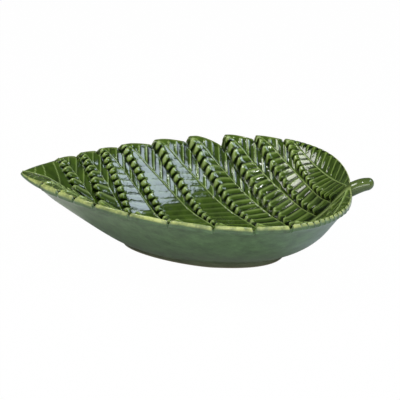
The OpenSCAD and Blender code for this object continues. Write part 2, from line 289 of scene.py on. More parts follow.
# The light marks at which each glaze shows in full, the darkest glaze standing also for painted shade in the
# grooves and the thin glaze also for painted light on the crests, and how dark and light the blots of a glaze
# are.
POOLED_AND_SHADED_AT = 0.28
GLAZE_AT = 0.52
THIN_AND_LIT_AT = 0.84
VEIN_AT = 1.0
WALL_BLOTS = (0.62, 1.42)
ROLL_BLOTS = (0.6, 0.4)
FOOT_BLOTS = (0.75, 1.25)
CLAY_GRAIN = 0.75

# The stage: the floor and how white the camera sees it, the sky, and the lamps with the point that
# they aim at.
FLOOR_HALF_M = 3.0
FLOOR_WHITE_SHARE = 0.99
SKY_COLOUR = (0.95, 0.97, 1.0)
SKY_STRENGTH = 0.13
LAMP_TARGET = (0, 0, 0.03)
LAMPS = (
    {"name": "window_softbox", "place": (0.602, 0.025, 0.865), "size": (0.573, 0.323), "watts": 4.6,
     "colour": (0.72, 0.83, 1.0), "turn": -38},
    {"name": "left_softbox", "place": (-0.495, -0.084, 0.93), "size": (0.5, 0.32), "watts": 4.8,
     "colour": (1.0, 1.0, 0.93), "turn": -20},
    {"name": "top_lamp", "place": (0.0, -0.2, 1.0), "size": (0.06, 0.06), "watts": 0.7},
    {"name": "front_fill", "place": (0.2, -1.4, 0.5), "size": (1.2, 0.6), "watts": 8},
)

# The camera: degrees round the dish and above the table, distance in metres, scale and shift in the
# photo's pixels.
PHOTO_PIXELS = 400
SENSOR_MM = 36.0
CAMERA = {"turn": 4.4, "rise": 25.5, "distance": 0.669, "pixels_per_mm": 1.206, "left": 15.6, "down": 13.7}
CAMERA_TARGET_Z = 0.03


class LeafDishSizes(bpy.types.PropertyGroup):
    """Sizes of the dish, in metres."""

    leaf_length: FloatProperty(name="Leaf length", description="From the tip to the end of the rim",
                               default=0.268, unit="LENGTH")
    leaf_width: FloatProperty(name="Leaf width", description="Across the widest place of the leaf",
                              default=0.19, unit="LENGTH")
    rim_height: FloatProperty(name="Rim height", description="Height of the rim at the middle",
                              default=0.066, unit="LENGTH")
    tip_drop: FloatProperty(name="Tip drop", description="How much lower the rim is at the tip",
                            default=0.003, unit="LENGTH")
    stalk_drop: FloatProperty(name="Stalk drop", description="How much lower the rim is at the stalk",
                              default=0.008, unit="LENGTH")
    floor: FloatProperty(name="Floor", description="Thickness of the floor",
                         default=0.006, unit="LENGTH")
    rim_edge: FloatProperty(name="Rim edge", description="Height of the rounded edge of the rim",
                            default=0.0045, unit="LENGTH")
    bend: FloatProperty(name="Bend", description="Soft bend between the floor and the wall",
                        default=0.007, unit="LENGTH")
    belly: FloatProperty(name="Belly", description="How far the wall bellies out below the stalk",
                         default=0.008, unit="LENGTH")
    tip_fill: FloatProperty(name="Tip fill", description="How much higher the inside is toward the tip",
                            default=0.009, unit="LENGTH")
    flare_width: FloatProperty(name="Flare width", description="Band below the rim that flares",
                               default=0.02, unit="LENGTH")
    flare_height: FloatProperty(name="Flare height", description="Swelling where the flare starts",
                                default=0.012, unit="LENGTH")
    foot_height: FloatProperty(name="Foot height", description="Height of the foot ring",
                               default=float(FOOT_HIGH[2] - FOOT_LOW[2]), unit="LENGTH")
    foot_band: FloatProperty(name="Foot band", description="Width of the foot's resting face",
                             default=0.007, unit="LENGTH")
    foot_step: FloatProperty(name="Foot step", description="How far the foot is set in",
                             default=0.0012, unit="LENGTH")
    foot_to_tip: FloatProperty(name="Foot to tip", description="From the foot's widest place to the tip",
                               default=0.079, unit="LENGTH")
    foot_to_stalk: FloatProperty(name="Foot to stalk", description="From its widest place to the stalk",
                                 default=0.06, unit="LENGTH")
    foot_half_width: FloatProperty(name="Foot half width", description="Half of its greatest width",
                                   default=0.038, unit="LENGTH")
    foot_shift: FloatProperty(name="Foot shift", description="From the leaf's middle to its widest place",
                              default=0.026, unit="LENGTH")
    lip: FloatProperty(name="Lip", description="How far the rim's edge bulges out",
                       default=0.0015, unit="LENGTH")
    midrib_at_tip: FloatProperty(name="Midrib at the tip", description="Radius of the midrib at the tip",
                                 default=0.0014, unit="LENGTH")
    midrib_neck: FloatProperty(name="Midrib neck", description="Its radius on the wall below the stalk",
                               default=0.0026, unit="LENGTH")
    midrib_ride: FloatProperty(name="Midrib ride", description="How far it stands off the wall there",
                               default=0.002, unit="LENGTH")
    stalk_root: FloatProperty(name="Stalk root", description="Radius of the stalk at the rim",
                              default=0.0054, unit="LENGTH")
    stalk_end: FloatProperty(name="Stalk end", description="Radius of its rounded end",
                             default=0.0052, unit="LENGTH")
    stalk_swell: FloatProperty(name="Stalk swell", description="How much thicker its middle is",
                               default=0.0005, unit="LENGTH")
    stalk_sink: FloatProperty(name="Stalk sink", description="Its axis below the rim's top at the root",
                              default=0.0013, unit="LENGTH")
    stalk_rise: FloatProperty(name="Stalk rise", description="How far its axis rises to the end",
                              default=0.005, unit="LENGTH")
    stalk_web: FloatProperty(name="Stalk web", description="Depth of the clay below its root",
                             default=0.0025, unit="LENGTH")
    lift: FloatProperty(name="Leaflet lift", description="Height of a leaflet's free edge",
                        default=0.0026, unit="LENGTH")
    crown: FloatProperty(name="Lobe crown", description="Height of a lobe above its grooves",
                         default=0.0011, unit="LENGTH")
    vein: FloatProperty(name="Vein", description="Height of a leaflet's vein",
                        default=0.0008, unit="LENGTH")
    vein_width: FloatProperty(name="Vein width", description="Half the width of a leaflet's vein",
                              default=0.00055, unit="LENGTH")
    groove: FloatProperty(name="Groove", description="Width of the groove between two leaflets",
                          default=0.0009, unit="LENGTH")
    edge_round: FloatProperty(name="Edge round", description="Rounding of the lobes' ends",
                              default=0.0018, unit="LENGTH")
    bead: FloatProperty(name="Bead", description="Length of the round free end of a lobe",
                        default=0.0044, unit="LENGTH")
    rib_pitch: FloatProperty(name="Rib pitch", description="Width of the ribs on a vein's stalk side",
                             default=0.0066, unit="LENGTH")
    lobe_slit: FloatProperty(name="Lobe slit", description="Depth of the slits between the lobes' ends",
                             default=0.0032, unit="LENGTH")
    slot_depth: FloatProperty(name="Slot depth", description="Depth of the small slots in the rim",
                              default=0.0022, unit="LENGTH")
    rows: IntProperty(name="Rows", description="Rows of the relief between midrib and rim", default=165)


class LeafDishColours(bpy.types.PropertyGroup):
    """Colours of the dish."""

    # Near-black glaze in the grooves, which also stands for painted shade there.
    deep: FloatVectorProperty(name="Pooled glaze and shade", description="Glaze and painted shade in the grooves",
                              subtype="COLOR", default=(0.004, 0.01, 0.001))
    glaze: FloatVectorProperty(name="Glaze", description="Glaze over the leaflets",
                               subtype="COLOR", default=(0.055, 0.104, 0.006))
    # On the inner relief this glaze also stands for painted light on the crests.
    thin: FloatVectorProperty(name="Thin glaze", description="Glaze where it runs thin on ridges, also painted light there",
                              subtype="COLOR", default=(0.21, 0.31, 0.045))
    vein: FloatVectorProperty(name="Vein", description="Glaze on the veins",
                              subtype="COLOR", default=(0.33, 0.43, 0.14))
    edge: FloatVectorProperty(name="Edge", description="Glaze on the rim's edge",
                              subtype="COLOR", default=(0.6, 0.66, 0.22))
    outside: FloatVectorProperty(name="Outside", description="Glaze on the outside of the wall",
                                 subtype="COLOR", default=(0.076, 0.138, 0.056))
    foot: FloatVectorProperty(name="Foot", description="Glaze on the side of the foot",
                              subtype="COLOR", default=(0.115, 0.135, 0.08))
    clay: FloatVectorProperty(name="Clay", description="Bare clay under the foot",
                              subtype="COLOR", default=(0.55, 0.43, 0.3))
    floor: FloatVectorProperty(name="Studio floor", description="Colour of the floor",
                               subtype="COLOR", default=(0.9, 0.9, 0.9))


def climb(t, start, span):
    """A straight rise from 0 to 1 over a span that begins at start."""
    return np.clip((t - start) / span, 0, 1)


def ease(t, start=0.0, span=1.0):
    """The same rise with soft ends."""
    t = climb(t, start, span)
    return t * t * (3 - 2 * t)


def line(d, width):
    """A thin ridge: 1 on the line, 0 a few widths away."""
    return np.exp(-(d / width) ** 2)


def rounded(c, sharp=2.4):
    """Section of a lobe: 1 along its middle, 0 in the grooves beside it."""
    return np.sqrt(np.clip(1 - np.minimum(np.abs(c), 1) ** sharp, 0, 1))


def phase(t):
    """Distance from a lobe's middle, as a share of half its width."""
    return np.abs(2 * (t - np.floor(t)) - 1)


def chance(i, n):
    """A steady pseudo-random number from 0 to 1 for lobe n of leaflet i."""
    v = np.sin(n * 12.9898 + i * 78.233) * 43758.5453
    return v - np.floor(v)


def ring_turns(count):
    """The turns of evenly spread points round a ring."""
    return np.arange(count) * 2 * math.pi / count


class Leaf:
    """The surfaces of the dish, from its sizes."""

    def __init__(self, s):
        self.s = s
        self.x0 = float(BODY_LOW[0]) - s.leaf_length * TIP_CUT_SHARE
        self.foot_x = self.x0 + s.leaf_length / 2 + s.foot_shift
        self.floor_z = s.foot_height + s.floor
        u = (1 - np.cos(np.pi * np.linspace(0, 1, OUTLINE_POINTS))) / 2
        x = self.x0 + s.leaf_length * u - self.foot_x
        y = self.half_width(u)
        turn = np.arctan2(y, x)
        order = np.argsort(turn)
        self.turns = turn[order]
        self.reach = np.hypot(x, y)[order]
        self.rise = self.rim_height(u)[order]

    def along(self, x):
        """Place along the leaf: 0 at its tip and 1 at the end of its rim."""
        return (x - self.x0) / self.s.leaf_length

    def half_width(self, u):
        """Half the leaf's width without its scallops."""
        widest = TIP_FULL_POWER / (TIP_FULL_POWER + STALK_FULL_POWER)
        u = np.clip(u, 0, 1)
        return (self.s.leaf_width / 2 * (u / widest) ** TIP_FULL_POWER
                * ((1 - u) / (1 - widest)) ** STALK_FULL_POWER)

    def rim_height(self, u):
        """Height of the rim, lower at both ends."""
        return (self.s.rim_height - self.s.tip_drop * (1 - u) ** TIP_FALL_POWER
                - self.s.stalk_drop * u ** STALK_FALL_POWER)

    def foot_radius(self, turn):
        """Reach of the foot's oval at a turn round its widest place."""
        to_tip = np.cos(turn) < 0
        length = np.where(to_tip, self.s.foot_to_tip, self.s.foot_to_stalk)
        power = np.where(to_tip, FOOT_TIP_POWER, FOOT_STALK_POWER)
        return ((np.abs(np.cos(turn)) / length) ** power
                + (np.abs(np.sin(turn)) / self.s.foot_half_width) ** power) ** (-1 / power)

    def around(self, x, y):
        """Turn and reach round the foot, and there the foot's reach, the rim's reach and its height."""
        turn = np.arctan2(np.abs(y), x - self.foot_x)
        return (turn, np.hypot(x - self.foot_x, y), self.foot_radius(turn),
                np.interp(turn, self.turns, self.reach), np.interp(turn, self.turns, self.rise))

    def soft(self, d):
        """A bend from level to straight at d = 0."""
        return self.s.bend * np.logaddexp(0, d / self.s.bend)

    def flare(self, d):
        """Height of the swelling at a distance in from the rim."""
        t = np.clip(1 - d / self.s.flare_width, 0, 1)
        return self.s.flare_height * t * t * (1 - t)

    def fill(self, x, y):
        """Height of the thick clay inside the tip."""
        u = np.clip(self.along(x), TIP_CUT_SHARE / 2, 1 - TIP_CUT_SHARE / 2)
        q = np.abs(y) / self.half_width(u)
        start, full, end = FILL_SHARES
        along = ease(u, 0, start) * (1 - ease(u, full, end - full))
        return self.s.tip_fill * along * np.clip(1 - q * q, 0, None)

    def inside(self, x, y):
        """Height of the inner wall and floor."""
        turn, r, foot, rim, top = self.around(x, y)
        f = (self.soft(r - foot) - self.soft(-foot)) / (self.soft(rim - foot) - self.soft(-foot))
        belly = INNER_BELLY_SHARE * self.s.belly * (1 + np.cos(turn)) / 2
        return (self.floor_z + (top - self.floor_z) * f
                - belly * np.sin(np.pi * np.minimum(f, 1)) + self.flare(rim - r) + self.fill(x, y))

    def outside(self, x, y):
        """Height of the outer wall."""
        turn, r, foot, rim, top = self.around(x, y)
        f = np.clip((r - foot) / (rim - foot), 0, None)
        belly = self.s.belly * (1 + np.cos(turn)) / 2
        tip_belly = TIP_BELLY_M * ease(-np.cos(turn)) * np.sin(np.pi * np.clip(f, 0, 1) ** TIP_BELLY_POWER)
        low = self.s.foot_height
        at_tip = ease(1 - self.along(x) / TIP_THIN_REACH)
        edge = self.s.rim_edge * (1 - TIP_THIN_SHARE * at_tip)
        return (low + (top - edge - low) * f - tip_belly
                - belly * np.sin(np.pi * np.minimum(f, 1)) + self.flare(rim - r))

    def normal(self, x, y):
        """Direction straight off the inner wall."""
        d = SLOPE_STEP_M
        dx = (self.inside(x + d, y) - self.inside(x - d, y)) / (2 * d)
        dy = (self.inside(x, y + d) - self.inside(x, y - d)) / (2 * d)
        n = np.stack([-dx, -dy, np.ones_like(dx)], -1)
        return n / np.linalg.norm(n, axis=-1, keepdims=True)


class Leaflet:
    """One leaflet of the relief, on a grid of columns across it (a) and rows toward the rim (v)."""

    def __init__(self, leaf, number, v, far):
        s = leaf.s
        root, next_root = ROOT_SHARES[number:number + 2]
        notch, next_notch = NOTCH_SHARES[number:number + 2]
        places = self.columns(number)
        self.leaf = leaf
        self.s = s
        self.number = number
        self.far = far
        self.a = places[:, None] * np.ones_like(v)[None]
        self.v = np.ones_like(places)[:, None] * v[None]
        on_midrib = root + (next_root - root) * self.a
        on_rim = notch + (next_notch - notch) * self.a
        sweep = self.v ** SWEEP_POWER
        self.across = s.leaf_length * ((next_root - root) * (1 - sweep) + (next_notch - notch) * sweep)
        self.slant = (s.leaf_length * (on_midrib - on_rim) * SWEEP_POWER
                      * np.maximum(self.v, LEAST_SHARE) ** (SWEEP_POWER - 1))
        self.x = leaf.x0 + s.leaf_length * (on_midrib - (on_midrib - on_rim) * sweep)
        self.width = leaf.half_width(on_rim)
        self.y = self.v * (self.width - self.notch())
        self.rise = ease(self.v, 0, RISE_SHARE)


class TipLeaflet(Leaflet):
    """The small smooth leaflet at the tip, with three thin veins."""

    def columns(self, number):
        """Places of the grid's columns across the leaflet, a little closer toward its stalk side."""
        return np.linspace(0, 1, TIP_COLUMNS) ** TIP_COLUMN_POWER

    def notch(self):
        """How far the rim is cut back, more on the far side."""
        next_share = NOTCH_SHARES[2] - NOTCH_SHARES[1]
        notch = (NOTCH_DEPTH_SHARE * NOTCH_SOFT_SHARE * self.s.leaf_length * next_share
                 * self.a ** TIP_NOTCH_POWER)
        if self.far:
            notch = np.maximum(notch, FIRST_BAY_M * ease(self.a, *FIRST_BAY_RISE))
        return notch

    def relief(self):
        """Height over the inner wall, pale mark and depth of the slots in the rim."""
        mark = np.zeros_like(self.x)
        for at_midrib, at_rim in TIP_VEIN_SHARES:
            at = at_midrib + (at_rim - at_midrib) * self.v
            vein = line((self.a - at) * self.across, TIP_VEIN_WIDTH_M) * ease(self.v, 0, TIP_VEIN_FADE)
            mark = np.maximum(mark, vein)
        mark = TIP_VEIN_MARK * mark * ease(TIP_VEIN_END - self.v, 0, TIP_VEIN_FADE)
        return TIP_VEIN_HEIGHT_M * mark, mark, np.zeros_like(self.x)


class SideLeaflet(Leaflet):
    """A leaflet with a bent vein, round-ended lobes on its tip side and ribs on its stalk side."""

    def __init__(self, leaf, number, v, far):
        super().__init__(leaf, number, v, far)
        bend = np.maximum(self.v, VEIN_LEAVE_SHARE) ** VEIN_BENDS[number - 1]
        self.vein_at = 1 - (1 - VEIN_RIM_SHARE) * bend
        self.tip_side = self.a < self.vein_at
        self.is_last = number == LAST_LEAFLET

    def columns(self, number):
        """Places of the grid's columns across the leaflet, closest at its free edge."""
        edge = np.linspace(0, EDGE_COLUMN_SHARE, EDGE_COLUMNS)[:-1]
        rest = np.linspace(EDGE_COLUMN_SHARE, 1, SIDE_COLUMNS if number < LAST_LEAFLET else LAST_COLUMNS)
        return np.concatenate([edge, rest])

    def notch(self):
        """How far the rim is cut back: a rounded start, a peak and a fall to the next leaflet."""
        before, here, after = NOTCH_SHARES[self.number - 1:self.number + 2]
        pitch = self.s.leaf_length * (after - here)
        last = self.s.leaf_length * (here - before)
        start = np.clip(1 - self.a / START_SHARES[self.number - 1], 0, 1)
        past = climb(self.a, PEAK_SHARE, 1 - PEAK_SHARE)
        if self.far:
            fall = FAR_FALLS[self.number - 1] * past ** FAR_FALL_POWER
        else:
            fall = (self.number < LAST_LEAFLET) * past ** NEAR_FALL_POWER
        return NOTCH_DEPTH_SHARE * (min(pitch, last) * start ** START_POWER + NOTCH_SOFT_SHARE * pitch * fall)

    def lobe_place(self):
        """Counts the lobes along the leaflet: whole numbers lie in the grooves between them."""
        bow = LOBE_TILTS[self.number - 1] * self.a * 4 * self.v * (1 - self.v)
        return LOBE_COUNTS[self.number - 1] * np.clip(self.v - bow, 0, None) ** LOBE_GROWTH_POWER

    def lobe_reach(self, t):
        """How far each lobe's round free end stands back from the groove, with the slits between."""
        c = phase(t)
        density = (LOBE_COUNTS[self.number - 1] * LOBE_GROWTH_POWER
                   * np.maximum(self.v, LOBE_EVEN_SHARE) ** (LOBE_GROWTH_POWER - 1))
        radius = LOBE_END_SHARE * self.width / density
        reach = (radius * (1 - np.sqrt(1 - np.minimum(c, LOBE_END_LIMIT) ** 2))
                 + LOBE_SCATTER_M * chance(self.number, np.floor(t)))
        slit = SMALL_SLIT_SHARE if self.number > FULL_SLIT_LEAFLETS else 1
        return reach + self.s.lobe_slit * climb(c, *SLIT_RISE) * slit

    def lobes(self, t, from_end):
        """Height of the lobes, and a painted highlight along their crests."""
        s = self.s
        c = phase(t)
        lobe = np.floor(t)
        long_share = LONG_LOBE_SHARES[self.number - 1]
        bead = climb(from_end, s.bead / 2, s.bead / 2)
        bead = long_share + (1 - long_share) * np.sqrt(1 - bead ** BEAD_FALL_POWER)
        crest = (BEAD_CREST_SHARE * s.crown * line(from_end - s.edge_round, BEAD_CREST_M) * rounded(c)
                 * (BEAD_CREST_LEAST + chance(self.number + BEAD_SERIES, lobe)))
        lift = s.lift * (1 - LIFT_AT_VEIN_SHARE * climb(self.a, 0, self.vein_at))
        # A painted highlight along the rim side of each crest.
        mark = CREST_HIGHLIGHT * long_share * line(2 * (t - lobe) - 1 - CREST_PLACE, CREST_WIDTH) * self.rise
        return lift + s.crown * rounded(c, LOBE_SHARPNESS) * bead + crest, mark

    def ribs(self):
        """Height of the ribs, the pale mark of their veins, and the place across each rib."""
        s = self.s
        lean = -END_LEAN_SHARE if self.is_last else RIB_LEAN_SHARE
        pitch = END_PITCH_SHARE * s.rib_pitch if self.is_last else s.rib_pitch
        w = np.clip((self.a - self.vein_at) / np.maximum(1 - self.vein_at, LEAST_SHARE), 0, 1)
        t = (self.x - self.leaf.x0 + lean * (self.v * self.width - RIB_PIVOT_M)) / pitch
        c = phase(t)
        room = climb((1 - self.vein_at) * self.across, 0, RIB_ROOM_M)
        rib = (line(c, RIB_WIDTH) * ease(w, 0, RIB_RISE_SHARE) * room
               * ease(self.v, RIB_START_SHARES[self.number - 1], RIB_RISE_SHARE))
        height = (s.lift * (LIFT_AT_VEIN_SHARE - LIFT_AT_VEIN_SHARE * w) + RIB_HEIGHT_SHARE * s.crown * rib
                  * (RIB_LEAST + RIB_SCATTER * chance(self.number + RIB_SERIES, np.floor(t))))
        off_vein = climb(np.abs(self.a - self.vein_at) * self.across, 0, VEIN_BED_M)
        height = LIFT_AT_VEIN_SHARE * s.lift * (1 - off_vein) + height * off_vein
        return height, RIB_VEIN_MARK * rib * line(c, RIB_VEIN_WIDTH), c

    def vein(self):
        """The raised vein: 0 beside it and up to its mark on its line."""
        d = (self.a - self.vein_at) * self.across * self.width / np.hypot(self.width, self.slant)
        width = self.s.vein_width * (VEIN_ROOT_WIDTH - VEIN_NARROWING * self.v)
        return VEIN_MARK * line(d, width) * self.rise * ease(VEIN_END - self.v, 0, VEIN_FADE)

    def slots(self, c):
        """Depth of the small slots in the rim, for ribs whose place across is c."""
        slot = np.clip(TIP_SIDE_SLOT_WIDTHS - self.a * self.across / TIP_SIDE_SLOT_M, 0, 1)
        if self.is_last:
            between = np.where(self.tip_side, 0, climb(c, *RIB_SLOT_RISE))
            slot = np.maximum(between * ease(1 - self.a, 0, RIB_SLOT_END_SHARE), slot)
        else:
            to_groove = (1 - self.a) * self.across
            slot = slot + np.clip(STALK_SIDE_SLOT_WIDTHS - to_groove / STALK_SIDE_SLOT_M, 0, 1)
        return (slot * (FAR_SLOT_SHARE if self.far else 1) * ease(self.v, *SLOT_RISE)
                * (1 - SLOT_FALL_SHARE * ease(self.v, *SLOT_FALL)))

    def relief(self):
        """Height over the inner wall, pale mark (the veins, and a painted highlight along the lobes' crests)
        and depth of the slots in the rim.
        """
        s = self.s
        t = self.lobe_place()
        from_end = self.a * self.across - self.lobe_reach(t)
        edge = np.sqrt(1 - (1 - climb(from_end, 0, s.edge_round)) ** 2)
        lobe_height, lobe_highlight = self.lobes(t, from_end)
        rib_height, rib_mark, c = self.ribs()
        vein = self.vein()
        h = edge * np.where(self.tip_side, lobe_height, rib_height) * self.rise
        h = h + s.vein * (1 - VEIN_LOWERING * self.v) * vein
        if self.number <= SMOOTH_LEAFLETS:
            h = h * (1 - (SMOOTH_MOST - SMOOTH_LESS * self.number) * ease(self.v, *SMOOTH_RISE))
        on_rim = ease(self.v, *RIM_RISE)
        rim = s.lift * RIM_LIFT_SHARE * climb(self.a * self.across, 0, RIM_STEP_M) ** RIM_STEP_POWER
        # The pale mark holds the veins, and on the lobes a painted highlight along their crests.
        mark = np.maximum(vein, np.where(self.tip_side, lobe_highlight, rib_mark)) * (1 - on_rim)
        return h * (1 - on_rim) + rim * on_rim, mark, self.slots(c)


def spread(h, n):
    """The mean of a grid over n steps each way."""
    for axis in (0, 1):
        ends = [(n + 1, n) if k == axis else (0, 0) for k in (0, 1)]
        run = np.cumsum(np.pad(h, ends, mode="edge"), axis=axis)
        size = h.shape[axis]
        high = np.take(run, np.arange(2 * n + 1, 2 * n + 1 + size), axis=axis)
        low = np.take(run, np.arange(0, size), axis=axis)
        h = (high - low) / (2 * n + 1)
    return h


def askew(leaf, points):
    """The stalk end set a little askew, its far corner farther out, as the photo shows."""
    shift = END_SKEW_SHARE * points[..., 1] * ease(leaf.along(points[..., 0]), *END_SKEW_RISE)
    return points + shift[..., None] * np.array([1, 0, 0])


def light_mark(leaf, x, v, h, slot):
    """From dark in the grooves (0) to pale on the crests (1): pooled and thin glaze, and painted shade in the
    grooves and slots and painted light on the crests and on the sides that face the rim.
    """
    toward_rim = np.concatenate([h[:, LIGHT_SLOPE_ROWS:]] + [h[:, -1:]] * LIGHT_SLOPE_ROWS, axis=1)
    stalkward = ease(x, leaf.foot_x, LIGHT_STALKWARD_M)
    # Crests paler and hollows darker than around them, and sides that face the rim paler: partly the glaze,
    # partly painted light and painted shade.
    light = (LIGHT_LEVEL + (h - spread(h, LIGHT_SPREAD)) / (LIGHT_CREST_M - LIGHT_CREST_LESS_M * stalkward)
             + (h - toward_rim) / (LIGHT_SLOPE_M - LIGHT_SLOPE_LESS_M * stalkward))
    light = np.maximum(light, LIGHT_LEAST * stalkward)
    at_rim = ease(v, *LIGHT_RIM_RISE)
    # The slots in the rim are darkened as painted shade.
    return light * (1 - at_rim) + LIGHT_RIM * at_rim - SLOT_SHADE * slot


def relief_grid(leaf, far):
    """The inner relief of one side: points, places, and marks for colour, columns by rows."""
    s = leaf.s
    v = np.linspace(0, 1, s.rows + 1)
    v = v + ROW_CROWDING * np.sin(np.pi * v) * v * (1 - v)
    parts = []
    for number in range(LAST_LEAFLET + 1):
        leaflet = (SideLeaflet if number else TipLeaflet)(leaf, number, v, far)
        relief = leaflet.relief()
        if number > 0:
            leaflet.x[0] += s.groove / 2 * leaflet.rise[0]
        if number < LAST_LEAFLET:
            leaflet.x[-1] -= s.groove / 2 * leaflet.rise[-1]
        parts.append((leaflet.x, leaflet.y, leaflet.v, *relief))
    x, y, v, h, vein, slot = [np.concatenate(part) for part in zip(*parts)]
    h = h - s.slot_depth * slot
    points = np.stack([x, y, leaf.inside(x, y)], -1) + leaf.normal(x, y) * h[..., None]
    return points, v, light_mark(leaf, x, v, h, slot), vein, slot


def grid_faces(columns, rows, flip=False, close=False):
    """Four-sided faces between the points of a grid, whose last column may meet the first."""
    spaces = np.arange((columns - (0 if close else 1)) * (rows - 1))
    column, row = np.divmod(spaces, rows - 1)
    here = column * rows + row
    beside = ((column + 1) % columns) * rows + row
    faces = np.stack([here, beside, beside + 1, here + 1], -1)
    return faces[:, ::-1] if flip else faces


def mesh_piece(name, points, faces, material, marks=None):
    """A smooth-shaded piece, with marks on its points that its finish reads."""
    mesh = bpy.data.meshes.new(name)
    mesh.from_pydata(points.reshape(-1, 3).tolist(), [], [list(map(int, f)) for f in faces])
    for key, values in (marks or {}).items():
        layer = mesh.attributes.new(key, "FLOAT", "POINT")
        layer.data.foreach_set("value", np.asarray(values, np.float32).ravel())
    mesh.validate()
    mesh.shade_smooth()
    piece = bpy.data.objects.new(name, mesh)
    bpy.context.scene.collection.objects.link(piece)
    mesh.materials.append(material)
    return piece


def shade(colour, share=1.0):
    """A colour made darker or lighter."""
    return tuple(share * part for part in colour)


class Finish:
    """A material and the nodes that it is made of."""

    def __init__(self, name):
        self.material = bpy.data.materials.new(name)
        self.material.use_nodes = True
        self.nodes = self.material.node_tree.nodes
        self.links = self.material.node_tree.links
        self.shader = self.nodes["Principled BSDF"]

    def feed(self, socket, value):
        """Sets a socket to a number or a colour, or links another node to it."""
        if isinstance(value, (int, float)):
            socket.default_value = value
        elif isinstance(value, tuple):
            socket.default_value = (*value, 1)
        else:
            self.links.new(value, socket)

    def mark(self, name):
        """Reads a mark that was set on the piece's points."""
        node = self.nodes.new("ShaderNodeAttribute")
        node.attribute_name = name
        return node.outputs["Fac"]

    def noise(self, scale, detail, rough=0.5):
        """Clouds that stay in place on the piece."""
        place = self.nodes.new("ShaderNodeTexCoord")
        texture = self.nodes.new("ShaderNodeTexNoise")
        texture.inputs["Scale"].default_value = scale
        texture.inputs["Detail"].default_value = detail
        texture.inputs["Roughness"].default_value = rough
        self.links.new(place.outputs["Object"], texture.inputs["Vector"])
        return texture.outputs["Fac"]

    def ramp(self, source, stops):
        """Turns a number into a colour between stops, each a place from 0 to 1 and a colour."""
        node = self.nodes.new("ShaderNodeValToRGB")
        self.links.new(source, node.inputs["Fac"])
        elements = node.color_ramp.elements
        while len(elements) < len(stops):
            elements.new(0.5)
        for element, (at, colour) in zip(elements, stops):
            element.position = at
            element.color = (*colour, 1)
        return node.outputs["Color"]

    def mix(self, share, a, b):
        """Colour a, with a share of colour b."""
        node = self.nodes.new("ShaderNodeMix")
        node.data_type = "RGBA"
        for key, value in (("Factor", share), ("A", a), ("B", b)):
            self.feed(node.inputs[key], value)
        return node.outputs["Result"]

    def maths(self, operation, *values):
        node = self.nodes.new("ShaderNodeMath")
        node.operation = operation
        for socket, value in zip(node.inputs, values):
            self.feed(socket, value)
        return node.outputs["Value"]

    def scaled(self, source, times, plus):
        return self.maths("MULTIPLY_ADD", source, times, plus)

    def limited(self, source, low, high):
        return self.maths("MAXIMUM", self.maths("MINIMUM", source, high), low)

    def times(self, source, share):
        return self.maths("MULTIPLY", source, share)

    def uneven_rim(self):
        """How much of the edge's colour shows: patchy, as a glaze that ran off it unevenly."""
        patches = self.scaled(self.noise(scale=150, detail=5, rough=0.7), times=3.2, plus=-0.95)
        return self.times(self.mark("rim"), self.limited(patches, low=0.3, high=1.0))

    def gloss(self, roughness, skin, coat=0.35):
        """A glassy surface with the faint waviness of a fired glaze."""
        self.shader.inputs["Roughness"].default_value = roughness
        self.shader.inputs["IOR"].default_value = 1.5
        self.shader.inputs["Coat Weight"].default_value = coat
        self.shader.inputs["Coat Roughness"].default_value = 0.04
        bump = self.nodes.new("ShaderNodeBump")
        bump.inputs["Distance"].default_value = skin
        bump.inputs["Strength"].default_value = 0.6
        self.links.new(self.noise(scale=260, detail=2), bump.inputs["Height"])
        self.links.new(bump.outputs["Normal"], self.shader.inputs["Normal"])

    def colour(self, source):
        self.links.new(source, self.shader.inputs["Base Color"])


def inside_glaze(colours):
    """Glossy glaze, dark and dull in the grooves and pale on the crests: pooled and thin glaze, with painted
    shade in the grooves and painted light on the crests.
    """
    finish = Finish("inside_glaze")
    cloud = finish.scaled(finish.noise(scale=75, detail=5, rough=0.6), times=0.5, plus=-0.25)
    light = finish.maths("ADD", finish.mark("light"), cloud)
    # Near-black in the grooves, partly painted shade, up to thin glaze on the crests, partly painted light.
    body = finish.ramp(light, [(POOLED_AND_SHADED_AT, shade(colours.deep)), (GLAZE_AT, shade(colours.glaze)),
                               (THIN_AND_LIT_AT, shade(colours.thin)), (VEIN_AT, shade(colours.vein))])
    # The vein mark paints the veins pale, and with them a painted highlight along the lobes' crests.
    body = finish.mix(finish.mark("vein"), body, shade(colours.vein))
    finish.colour(finish.mix(finish.uneven_rim(), body, shade(colours.edge)))
    finish.gloss(roughness=0.11, skin=0.00042)
    open_part = finish.limited(finish.scaled(light, times=4.0, plus=-0.75), low=0.0, high=1.0)
    finish.feed(finish.shader.inputs["Specular IOR Level"], finish.times(open_part, 0.5))
    finish.feed(finish.shader.inputs["Coat Weight"], finish.times(open_part, 0.35))
    return finish.material


def wall_glaze(colours):
    """Duller glaze of the outer wall, blotted and specked."""
    finish = Finish("wall_glaze")
    dark, light = WALL_BLOTS
    wall = finish.ramp(finish.noise(scale=120, detail=6, rough=0.75),
                       [(0.35, shade(colours.outside, dark)), (0.65, shade(colours.outside, light))])
    specks = finish.ramp(finish.noise(scale=420, detail=1), [(0.77, (0, 0, 0)), (0.83, (1, 1, 1))])
    wall = finish.mix(finish.times(specks, 0.4), wall, shade(colours.edge))
    # The rim mark brings the edge colour onto the lip, and as a painted highlight onto a thin line above the
    # foot.
    finish.colour(finish.mix(finish.uneven_rim(), wall, shade(colours.edge)))
    finish.gloss(roughness=0.28, skin=0.0002, coat=0.12)
    return finish.material


